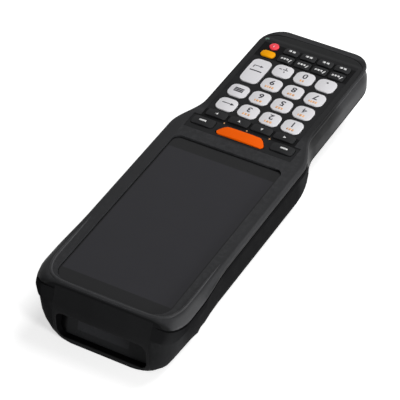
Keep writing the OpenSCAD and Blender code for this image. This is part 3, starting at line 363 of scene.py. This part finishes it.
# ---------------------------------------------------------------- pieces

# Edges are shaded smooth below these angles: on swept and turned pieces, and on CAD copies
ROUND_ANGLE = 50
SHARP_ANGLE = 34
# A CAD copy's faces merge below this angle, and its corners below this distance, in metres
FLAT_ANGLE = 0.2
WELD_DISTANCE = 2e-6
# Lead of large faces over small ones in a CAD copy's shading
NORMAL_WEIGHT = 80


def add_object(name, data):
    """A new object in the scene."""
    obj = bpy.data.objects.new(name, data)
    bpy.context.scene.collection.objects.link(obj)
    return obj


def finish_piece(name, mesh, material, body, replaces=()):
    """Makes a mesh a visible piece that rides on a body."""
    obj = add_object(name, mesh)
    mesh.materials.clear()
    mesh.materials.append(material)
    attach(obj, body)
    if replaces:
        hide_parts(*replaces)
    return obj


def smooth_by_angle(bm, degrees):
    """Smooth shading, with sharp edges where faces turn by more than an angle."""
    limit = math.radians(degrees)
    for face in bm.faces:
        face.smooth = True
    for edge in bm.edges:
        edge.smooth = edge.is_manifold and edge.calc_face_angle(0) < limit


def body_of(node):
    return NODES[node]["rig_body"]


def to_mesh(bm, name):
    """A new mesh from a bmesh, which is freed."""
    mesh = bpy.data.meshes.new(name)
    bm.to_mesh(mesh)
    bm.free()
    return mesh


def skin_rings(bm, rings):
    """Joins rings of vertices with side faces and closes both ends."""
    for lower, upper in zip(rings, rings[1:]):
        for k in range(len(lower)):
            j = (k + 1) % len(lower)
            bm.faces.new((lower[k], lower[j], upper[j], upper[k]))
    bm.faces.new(rings[0])
    bm.faces.new(rings[-1])
    bmesh.ops.recalc_face_normals(bm, faces=bm.faces)


def with_neighbours(points):
    """Triples of the point before, the point and the point after, round a closed outline."""
    return zip(points[-1:] + points[:-1], points, points[1:] + points[:1])


def tube(name, path, sides=12):
    """Closed mesh swept along a path of (x, y, z, half width, half height), in millimetres."""
    bm = bmesh.new()
    rings = []
    for i, (x, y, z, wide, high) in enumerate(path):
        before, after = path[max(i - 1, 0)], path[min(i + 1, len(path) - 1)]
        along = Vector((after[0] - before[0], after[1] - before[1])).normalized()
        across = Vector((along.y, -along.x))
        rings.append([])
        for k in range(sides):
            turn = 2 * math.pi * (k + 0.5) / sides
            out = across * wide * math.cos(turn)
            place = (x + out.x, y + out.y, z + high * math.sin(turn))
            rings[-1].append(bm.verts.new([value * MM for value in place]))
    skin_rings(bm, rings)
    smooth_by_angle(bm, ROUND_ANGLE)
    return to_mesh(bm, name)


def evaluated_mesh(obj):
    """A new mesh of an object with its modifiers applied."""
    bpy.context.view_layer.update()
    return bpy.data.meshes.new_from_object(
        obj.evaluated_get(bpy.context.evaluated_depsgraph_get())
    )


def carved(mesh, cutters):
    """The mesh with the cutter meshes taken out of it."""
    holder = add_object("carving", mesh)
    tools = [add_object("cutter", cutter) for cutter in cutters]
    for tool in tools:
        mod = holder.modifiers.new("cut", "BOOLEAN")
        mod.object = tool
        mod.solver = "EXACT"
    result = evaluated_mesh(holder)
    for obj in [holder] + tools:
        bpy.data.objects.remove(obj)
    return result


# A key's cap lies between these heights: just above its flange, and clear of its top
CAP_FOOT, CAP_CLEAR = 29.2, 33
# Where the cap's outline turns by fewer degrees it has no corner
CORNER_ANGLE = 20
ARC_STEPS = 8
# The cutter reaches past the arc's ends by this factor of its radius
CUTTER_REACH = 1.4


def cap_corners(node):
    """Sharp corners of a convex key cap seen from above, in order, in millimetres."""
    tops = [v.co / MM for v in NODES[node].data.vertices if v.co.z > CAP_FOOT * MM]
    places = {(round(top.x, 2), round(top.y, 2)) for top in tops}
    points = [Vector(place) for place in sorted(places)]
    hull = [points[i] for i in geometry.convex_hull_2d(points)]
    corners = []
    for before, corner, after in with_neighbours(hull):
        if (corner - before).angle(after - corner, 0) > math.radians(CORNER_ANGLE):
            corners.append(corner)
    return corners


def corner_cutter(before, corner, after, radius):
    """Upright prism that takes a corner off a key cap down to an arc, in millimetres."""
    one, two = (before - corner).normalized(), (after - corner).normalized()
    half = one.angle(two) / 2
    inward = (one + two).normalized()
    centre = corner + inward * radius / math.sin(half)
    first = corner + one * radius / math.tan(half) - centre
    last = corner + two * radius / math.tan(half) - centre
    outline = [
        centre + first.lerp(last, k / ARC_STEPS).normalized() * radius for k in range(ARC_STEPS + 1)
    ]
    outline += [
        centre + last * CUTTER_REACH,
        corner - inward * radius / 2,
        centre + first * CUTTER_REACH,
    ]
    bm = bmesh.new()
    skin_rings(bm, [
        [bm.verts.new((x * MM, y * MM, z * MM)) for x, y in outline] for z in (CAP_FOOT, CAP_CLEAR)
    ])
    return to_mesh(bm, "corner_cutter")


def search_tree(node):
    """Search tree of a CAD node's faces, in metres."""
    bm = bmesh.new()
    bm.from_mesh(NODES[node].data)
    tree = BVHTree.FromBMesh(bm)
    bm.free()
    return tree


def surface(node):
    """Ray caster on a CAD node, in millimetres."""
    tree = search_tree(node)

    def cast(start, direction):
        hit = tree.ray_cast(Vector(start) * MM, Vector(direction))[0]
        return hit / MM

    return cast


def weld(bm):
    """Joins corners that lie on each other."""
    bmesh.ops.remove_doubles(bm, verts=bm.verts, dist=WELD_DISTANCE)


def refined(node, edge, material=None, cutters=(), second=None):
    """A copy of a CAD node with welded faces, rounded sharp edges and even shading.

    edge is (width in millimetres, segments). cutters are meshes taken out of the copy. second
    is (material, test of a face's middle in millimetres) for faces with a finish of their own.
    """
    bm = bmesh.new()
    bm.from_mesh(NODES[node].data)
    weld(bm)
    bmesh.ops.dissolve_limit(
        bm, angle_limit=math.radians(FLAT_ANGLE), verts=bm.verts, edges=bm.edges
    )
    bmesh.ops.recalc_face_normals(bm, faces=bm.faces)
    smooth_by_angle(bm, SHARP_ANGLE)
    mesh = to_mesh(bm, node + "_skin")
    if cutters:
        mesh = carved(mesh, cutters)
        bm = bmesh.new()
        bm.from_mesh(mesh)
        weld(bm)
        smooth_by_angle(bm, SHARP_ANGLE)
        bm.to_mesh(mesh)
        bm.free()
    slot = SLOT_OF[node]
    material = material or MATS[slot]
    obj = finish_piece(node + "_skin", mesh, material, body_of(node), (node,))
    if second:
        second_material, belongs = second
        mesh.materials.append(second_material)
        for face in mesh.polygons:
            face.material_index = int(belongs(face.center / MM))
    mod = obj.modifiers.new("edges", "BEVEL")
    mod.width = edge[0] * MM
    mod.segments = edge[1]
    mod.limit_method = "ANGLE"
    mod.angle_limit = math.radians(SHARP_ANGLE)
    mod.harden_normals = True
    mod.use_clamp_overlap = True
    mod = obj.modifiers.new("normals", "WEIGHTED_NORMAL")
    mod.keep_sharp = True
    mod.weight = NORMAL_WEIGHT


for node, obj in NODES.items():
    obj.data.materials.clear()
    obj.data.materials.append(MATS[SLOT_OF[node]])

front_cast = surface("front_housing")
# Rays start this far out beside the housing, and this high above it
BESIDE = 60
ABOVE = 40


def front_top(x, y):
    """Height of the front housing's upper side at a place."""
    return front_cast((x, y, ABOVE), (0, 0, -1)).z


# The lip's lower edge rises towards the waist: by how much, from which Y, over what length
LIP_RISE = 0.6
LIP_RISE_FROM = 92
LIP_RISE_LENGTH = 80


def lip_z(y):
    """Height of the lip's lower edge."""
    return LIP_Z + LIP_RISE * min(1, max(0, (LIP_RISE_FROM - y) / LIP_RISE_LENGTH))


def fade(i, count, least, rise, fall):
    """Share of full size at point i of count: least / rise at first, and least / fall at last."""
    return min(1, (i + least) / rise, (count - 1 - i + least) / fall)


# Shadow groove under the lip: along each side from the waist to the nose corner, then round it
GROOVE_HEIGHT = 0.85
GROOVE_DEPTH = 0.9
SIDE_PLACES = range(-22, 91, 4)
CORNER_CENTRE = (-20, 90)
CORNER_TURNS = range(176, 108, -4)
edge_points = []
for y in SIDE_PLACES:
    edge_points.append(front_cast((-BESIDE, y, lip_z(y) - GROOVE_HEIGHT / 2), (1, 0, 0)))
for degrees in CORNER_TURNS:
    reach = Vector((math.cos(math.radians(degrees)), math.sin(math.radians(degrees)), 0))
    outside = Vector((*CORNER_CENTRE, LIP_Z - GROOVE_HEIGHT / 2)) + reach * BESIDE
    edge_points.append(front_cast(outside, -reach))
groove_path = []
for i, point in enumerate(edge_points):
    wide = GROOVE_DEPTH * fade(i, len(edge_points), least=0.5, rise=4, fall=5)
    groove_path.append((point.x, point.y, point.z, wide, GROOVE_HEIGHT / 2))
mirrored = [(-x, y, z, wide, high) for x, y, z, wide, high in groove_path]

# Fine groove round the top of the grip
FINE_HALF_WIDTH = 0.3
FINE_HALF_HEIGHT = 0.28
half_ring = [(-28.35, y) for y in range(-44, -94, -5)]
half_ring += [(-28.1, -96), (-27.2, -98.4), (-25.4, -100.6), (-22.8, -102.6)]
half_ring += [(-19.2, -103.8), (-12, -104.2), (-4, -104.3)]
grip_ring = half_ring + [(-x, y) for x, y in reversed(half_ring)]
grip_path = [(x, y, front_top(x, y), FINE_HALF_WIDTH, FINE_HALF_HEIGHT) for x, y in grip_ring]

front_cutters = [
    tube("lip_groove_a", groove_path),
    tube("lip_groove_b", mirrored),
    tube("grip_groove", grip_path, sides=8),
]

# The skirt's painted shade starts this far below the lip's edge, and reaches to this Y at the waist
SKIRT_DROP = 0.05
SKIRT_END = -24


def on_skirt(place):
    """Whether a face with this middle has the skirt's painted shade."""
    return place.z < lip_z(place.y) - SKIRT_DROP and place.y > SKIRT_END


# Corner radii of the scan key, at its side towards the display and at its other side
FAR_CORNER = 1.55
NEAR_CORNER = 2.4


def scan_key_cutters():
    """Cutters that round the scan key's corners."""
    corners = cap_corners("key_scan")
    middle_y = sum(corner.y for corner in corners) / len(corners)
    cutters = []
    for before, corner, after in with_neighbours(corners):
        radius = FAR_CORNER if corner.y > middle_y else NEAR_CORNER
        cutters.append(corner_cutter(before, corner, after, radius))
    return cutters


# Rounding of edges: width in millimetres, and segments
SCAN_KEY_EDGE = (0.75, 4)
KEY_EDGE = (0.35, 3)
HOUSING_EDGE = (0.3, 3)
SMALL_EDGE = (0.2, 2)
SMALL_PIECES = ("battery_pack", "battery_latch", "port_cover", "scan_window", "display_glass")
for node in NODES:
    if node == "key_scan":
        refined(node, SCAN_KEY_EDGE, cutters=scan_key_cutters())
    elif node.startswith("key_"):
        refined(node, KEY_EDGE)
    elif node == "front_housing":
        refined(node, HOUSING_EDGE, FRONT_PLASTIC, front_cutters, (SKIRT_SHADE_PLASTIC, on_skirt))
    elif node == "rear_housing":
        refined(node, HOUSING_EDGE, REAR_PLASTIC)
    elif node == "nose_cover":
        refined(node, HOUSING_EDGE, NOSE_PLASTIC)
    elif node in SMALL_PIECES:
        refined(node, SMALL_EDGE)
refined("keypad_frame", SMALL_EDGE, KEYPAD_PANEL)

# ---------------------------------------------------------------- prints on the keys

# Prints, in millimetres: height above the key, thickness, grid they are cut on so that they
# follow the key's crown, weld distance, and height above the key where the rays start
PRINT_LIFT = 0.02
PRINT_DEPTH = 0.06
PRINT_STEP = 0.9
PRINT_WELD = 1e-4
PRINT_CLEAR = 10

DIGIT_Y = -1.1
DIGIT_SIZE = 5.2
DIGIT_BOLD = 0.1


def bar(x, y, width, height, lean=0.0):
    """Upright bar, leaning by a sideways shift of its top and its foot."""
    w, h = width / 2, height / 2
    foot = [(x - w - lean, y - h), (x + w - lean, y - h)]
    top = [(x + w + lean, y + h), (x - w + lean, y + h)]
    return foot + top


def triangle(x, y, size, degrees):
    """Arrowhead pointing to the given angle."""
    turn = math.radians(degrees)
    return [
        (x + size * math.cos(turn + a), y + size * math.sin(turn + a))
        for a in (0, math.radians(128), math.radians(232))
    ]


def disc(x, y, radius, sides=20):
    turns = [2 * math.pi * i / sides for i in range(sides)]
    return [(x + radius * math.cos(turn), y + radius * math.sin(turn)) for turn in turns]


def add_digit(bm, digit):
    """Adds the faces of a digit, with its middle on the digits' line."""
    curve = bpy.data.curves.new("digit", "FONT")
    curve.body = digit
    curve.size = DIGIT_SIZE
    # A bolder 4 would close its own small opening
    curve.offset = 0 if digit == "4" else DIGIT_BOLD
    curve.align_x = "CENTER"
    curve.align_y = "CENTER"
    curve.resolution_u = 3
    holder = add_object("digit", curve)
    mesh = evaluated_mesh(holder)
    bm.from_mesh(mesh)
    bpy.data.objects.remove(holder)
    bpy.data.curves.remove(curve)
    bpy.data.meshes.remove(mesh)
    xs, ys = [v.co.x for v in bm.verts], [v.co.y for v in bm.verts]
    shift = (-(min(xs) + max(xs)) / 2, DIGIT_Y - (min(ys) + max(ys)) / 2, 0)
    bmesh.ops.translate(bm, verts=bm.verts, vec=shift)
    bmesh.ops.remove_doubles(bm, verts=bm.verts, dist=PRINT_WELD)


def lay_print(name, node, shapes, ink, digit=None):
    """Prints polygons or a digit on top of a node, in millimetres from the node's middle."""
    low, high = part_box(node)
    middle = (Vector(low) + Vector(high)) / 2
    start_z = high[2] + PRINT_CLEAR * MM
    tree = search_tree(node)
    bm = bmesh.new()
    if digit:
        add_digit(bm, digit)
    for shape in shapes:
        bm.faces.new([bm.verts.new((x, y, 0)) for x, y in shape])
    for axis, normal in enumerate(((1, 0, 0), (0, 1, 0))):
        places = [v.co[axis] for v in bm.verts]
        first = math.floor(min(places) / PRINT_STEP) + 1
        last = math.ceil(max(places) / PRINT_STEP)
        for k in range(first, last):
            everything = bm.verts[:] + bm.edges[:] + bm.faces[:]
            place = Vector(normal) * (k * PRINT_STEP)
            bmesh.ops.bisect_plane(
                bm, geom=everything, plane_co=place, plane_no=normal, dist=PRINT_WELD
            )
    for vert in bm.verts:
        x, y = middle.x + vert.co.x * MM, middle.y + vert.co.y * MM
        top = tree.ray_cast(Vector((x, y, start_z)), Vector((0, 0, -1)))[0]
        vert.co = (x, y, top.z + PRINT_LIFT * MM)
    bmesh.ops.recalc_face_normals(bm, faces=bm.faces)
    for face in bm.faces:
        if face.normal.z < 0:
            face.normal_flip()
        face.smooth = True
    obj = finish_piece(name, to_mesh(bm, name), INK[ink], body_of(node))
    mod = obj.modifiers.new("depth", "SOLIDIFY")
    mod.thickness = PRINT_DEPTH * MM
    mod.offset = -1


for digit in "0123456789":
    lay_print("key_%s_digit" % digit, "key_" + digit, [], "dark", digit)

# Small second legends of the number keys, as groups of short bars: (middle, width)
LEGEND_Y = 2.6
LEGEND_HEIGHT = 1.35
second_legends = {
    "1": [(-1.6, 0.9), (-0.2, 1.2), (1.3, 0.9)],
    "2": [(-1.4, 1.1), (0.1, 1.1), (1.5, 0.8)],
    "3": [(-1.5, 1.0), (0.0, 1.0), (1.5, 1.0)],
    "4": [(-1.3, 0.9), (0.2, 1.3), (1.6, 0.7)],
    "5": [(-1.4, 0.8), (-0.1, 1.1), (1.4, 1.1)],
    "6": [(-1.6, 1.1), (0.0, 1.2), (1.4, 0.7)],
    "7": [(-1.9, 0.8), (-0.7, 0.9), (0.6, 0.9), (1.8, 0.8)],
    "8": [(-1.5, 1.1), (0.0, 0.9), (1.3, 1.0)],
    "9": [(-1.9, 1.0), (-0.6, 0.8), (0.6, 0.8), (1.9, 0.9)],
    "0": [(-0.6, 0.8), (0.7, 0.9)],
}
for digit, bars in second_legends.items():
    shapes = [bar(x, LEGEND_Y, width, LEGEND_HEIGHT) for x, width in bars]
    lay_print("key_%s_mark" % digit, "key_" + digit, shapes, "orange")

# Marks of the other keys, with their ink
plain_marks = {
    "key_point": ([disc(0, -1.9, 0.55)], "dark"),
    "key_sign": ([
        bar(-1.0, -0.9, 2.6, 0.6),
        bar(-1.0, 0.7, 0.6, 1.0),
        bar(-1.0, -2.1, 0.6, 1.0),
        bar(1.7, -0.9, 1.5, 0.6),
    ], "dark"),
    "key_back": ([triangle(-2.6, -0.5, 1.2, 180), bar(0.4, -0.5, 5.0, 0.5)], "dark"),
    "key_menu": ([bar(0, y, 5.0, 0.85) for y in (-1.4, -0.3, 0.8)], "dark"),
    "key_enter": ([
        bar(0.9, -3.6, 3.6, 0.5),
        bar(2.55, -2.6, 0.5, 1.5),
        triangle(-1.4, -3.6, 1.0, 180),
        bar(0, 0.4, 6.6, 0.75),
    ], "dark"),
    "key_left": ([triangle(0, 0.2, 0.95, 180)], "white"),
    "key_right": ([triangle(0, 0.2, 0.95, 0)], "white"),
    "key_up": ([triangle(0, 0.2, 0.95, 90)], "white"),
    "key_down": ([triangle(0, 0.2, 0.95, 270)], "white"),
    "key_soft_left": ([bar(-0.6, -0.3, 3.8, 1.1)], "white"),
    "key_soft_right": ([bar(0.6, -0.3, 3.8, 1.1)], "white"),
    "key_power": ([bar(0, 0.4, 0.4, 1.3)], "white"),
}
for i in range(1, 5):
    plain_marks["key_f%d" % i] = ([
        bar(-2.35, 0.4, 0.6, 2.2, 0.4),
        bar(-0.85, 0, 1.2, 1.2),
        bar(0.7, 0, 1.2, 1.2),
        bar(2.2, 0, 1.1, 1.2),
    ], "white")
    plain_marks["key_f%d" % (i + 4)] = ([bar(x, -0.4, 1.5, 1.3) for x in (-1.15, 0.95)], "white")
for node, (shapes, ink) in plain_marks.items():
    lay_print(node + "_mark", node, shapes, ink)

# Dots on the keypad frame between the arrow keys and the scan key
DOT_PLACES = (-12.4, 0, 12.4)
DOT_Y = -28.3
DOT_RADIUS = 0.42
frame_low, frame_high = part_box("keypad_frame")
frame_y = (frame_low[1] + frame_high[1]) / 2 / MM
dots = [disc(x, DOT_Y - frame_y, DOT_RADIUS, sides=14) for x in DOT_PLACES]
lay_print("frame_dots", "keypad_frame", dots, "orange")

# ---------------------------------------------------------------- small pieces on the housing

# Raised bead round the nose end of the bezel, fading out along both sides
BEAD_HALF_WIDTH = 0.8
BEAD_HALF_HEIGHT = 0.55
BEAD_SINK = 0.18
bead_half = [(-34.0, y) for y in (52, 57, 62, 67, 72, 77, 82, 86)]
bead_half += [(-33.9, 89), (-33.5, 92), (-32.8, 94.6), (-31.7, 96.9)]
bead_half += [(-30.2, 98.9), (-28.3, 100.3), (-26, 101.1)]
bead_half += [(-23, 101.5), (-18, 101.7), (-12, 101.8), (-6, 101.85)]
bead_line = bead_half + [(0, 101.85)] + [(-x, y) for x, y in reversed(bead_half)]
bead_path = []
for i, (x, y) in enumerate(bead_line):
    share = fade(i, len(bead_line), least=0.4, rise=5, fall=5)
    z = front_top(x, y) - BEAD_SINK
    bead_path.append((x, y, z, BEAD_HALF_WIDTH * share, BEAD_HALF_HEIGHT * share))
BEAD_PLASTIC = plastic("bead_moulding", CHARCOAL, 0.42, gloss=0.12, wear=0.35)
bead = tube("nose_bead", bead_path, sides=16)
finish_piece("nose_bead", bead, BEAD_PLASTIC, "housing")

TURNED_SIDES = 32


def turned(name, profile, place):
    """Mesh turned about an upright axis, from a profile of (radius, height), in millimetres."""
    bm = bmesh.new()
    rings = []
    for radius, height in profile:
        outline = disc(place[0], place[1], radius, TURNED_SIDES)
        rings.append([
            bm.verts.new((x * MM, y * MM, (place[2] + height) * MM)) for x, y in outline
        ])
    skin_rings(bm, rings)
    smooth_by_angle(bm, ROUND_ANGLE)
    return to_mesh(bm, name)


# Status light off the power key's outer corner, a low lens in the housing's face
LIGHT_PLACE = (25.6, -96.6)
LENS_PROFILE = [(1.35, -0.6), (1.35, -0.35), (1.3, -0.2), (1.0, -0.1), (0.6, -0.05), (0.2, -0.03)]
face_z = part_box("front_housing")[1][2] / MM
lens = turned("status_light", LENS_PROFILE, (*LIGHT_PLACE, face_z))
finish_piece("status_light", lens, INK["green"], "housing")

# ---------------------------------------------------------------- camera, lights and floor

# Fitted to the photograph
CAMERA_AT = (-0.38137, 0.65902, 0.69429)
CAMERA_AXES = (
    (-0.868778, -0.494784, -0.020338),
    (0.317990, -0.588892, 0.743026),
    (-0.379615, 0.639057, 0.668953),
)
SENSOR_WIDTH = 36
LENS = 192.26
SHIFT_X = -0.00125
CLIP_START = 0.01
camera_data = bpy.data.cameras.new("camera")
camera_data.sensor_width = SENSOR_WIDTH
camera_data.lens = LENS
camera_data.shift_x = SHIFT_X
camera_data.clip_start = CLIP_START
camera = add_object("camera", camera_data)
camera_turn = Matrix(CAMERA_AXES).transposed().to_4x4()
camera.matrix_world = Matrix.Translation(CAMERA_AT) @ camera_turn
bpy.context.scene.camera = camera


def lamp(name, place, target, size, power):
    """Rectangular lamp that points at its target, with lengths in metres."""
    data = bpy.data.lights.new(name, "AREA")
    data.shape = "RECTANGLE"
    data.size, data.size_y = size
    data.energy = power
    obj = add_object(name, data)
    obj.location = place
    obj.rotation_mode = "QUATERNION"
    obj.rotation_quaternion = (Vector(target) - Vector(place)).to_track_quat("-Z", "Y")


lamp("top_softbox", (-0.3, -0.75, 1.05), (0, 0, 0.02), (0.8, 0.8), 13)
lamp("side_softbox", (-0.45, 0.22, 0.1), (-0.03, 0.09, 0.025), (0.12, 0.08), 2.4)

FLOOR_REACH = 3
FLOOR_COLOUR = (0.86, 0.86, 0.86, 1)
FLOOR_GLOW = 0.6
floor_bm = bmesh.new()
bmesh.ops.create_grid(floor_bm, x_segments=2, y_segments=2, size=FLOOR_REACH)
floor_mesh = to_mesh(floor_bm, "floor")
floor = add_object("floor", floor_mesh)


def rays_that_see_white(tree):
    """1 for camera, glossy and transmission rays, 0 for all others."""
    path = tree.nodes.new("ShaderNodeLightPath")
    total = path.outputs["Is Camera Ray"]
    for ray in ("Is Glossy Ray", "Is Transmission Ray"):
        either = tree.nodes.new("ShaderNodeMath")
        either.operation = "MAXIMUM"
        tree.links.new(total, either.inputs[0])
        tree.links.new(path.outputs[ray], either.inputs[1])
        total = either.outputs[0]
    return total


def choose_by_ray(tree, seen, other, out):
    """Sends one shader to the rays that see white and another to all others."""
    mix = tree.nodes.new("ShaderNodeMixShader")
    tree.links.new(rays_that_see_white(tree), mix.inputs[0])
    tree.links.new(other.outputs[0], mix.inputs[1])
    tree.links.new(seen.outputs[0], mix.inputs[2])
    tree.links.new(mix.outputs[0], out.inputs[0])


WHITE = (1, 1, 1, 1)
AMBIENT = 0.15
world = bpy.data.worlds.new("studio")
bpy.context.scene.world = world
world.use_nodes = True
tree = world.node_tree
tree.nodes.clear()
seen = tree.nodes.new("ShaderNodeBackground")
seen.inputs[0].default_value = WHITE
seen.inputs[1].default_value = 1
ambient = tree.nodes.new("ShaderNodeBackground")
ambient.inputs[0].default_value = WHITE
ambient.inputs[1].default_value = AMBIENT
choose_by_ray(tree, seen, ambient, tree.nodes.new("ShaderNodeOutputWorld"))

# The floor glows for the rays that see it, which brings it close to the white around it
floor_mat = bpy.data.materials.new("floor")
floor_mat.use_nodes = True
tree = floor_mat.node_tree
tree.nodes.clear()
diffuse = tree.nodes.new("ShaderNodeBsdfDiffuse")
diffuse.inputs[0].default_value = FLOOR_COLOUR
glow = tree.nodes.new("ShaderNodeEmission")
glow.inputs[1].default_value = FLOOR_GLOW
glowing = tree.nodes.new("ShaderNodeAddShader")
tree.links.new(diffuse.outputs[0], glowing.inputs[0])
tree.links.new(glow.outputs[0], glowing.inputs[1])
choose_by_ray(tree, glowing, diffuse, tree.nodes.new("ShaderNodeOutputMaterial"))
floor_mesh.materials.append(floor_mat)

bpy.context.scene.view_settings.view_transform = "Standard"
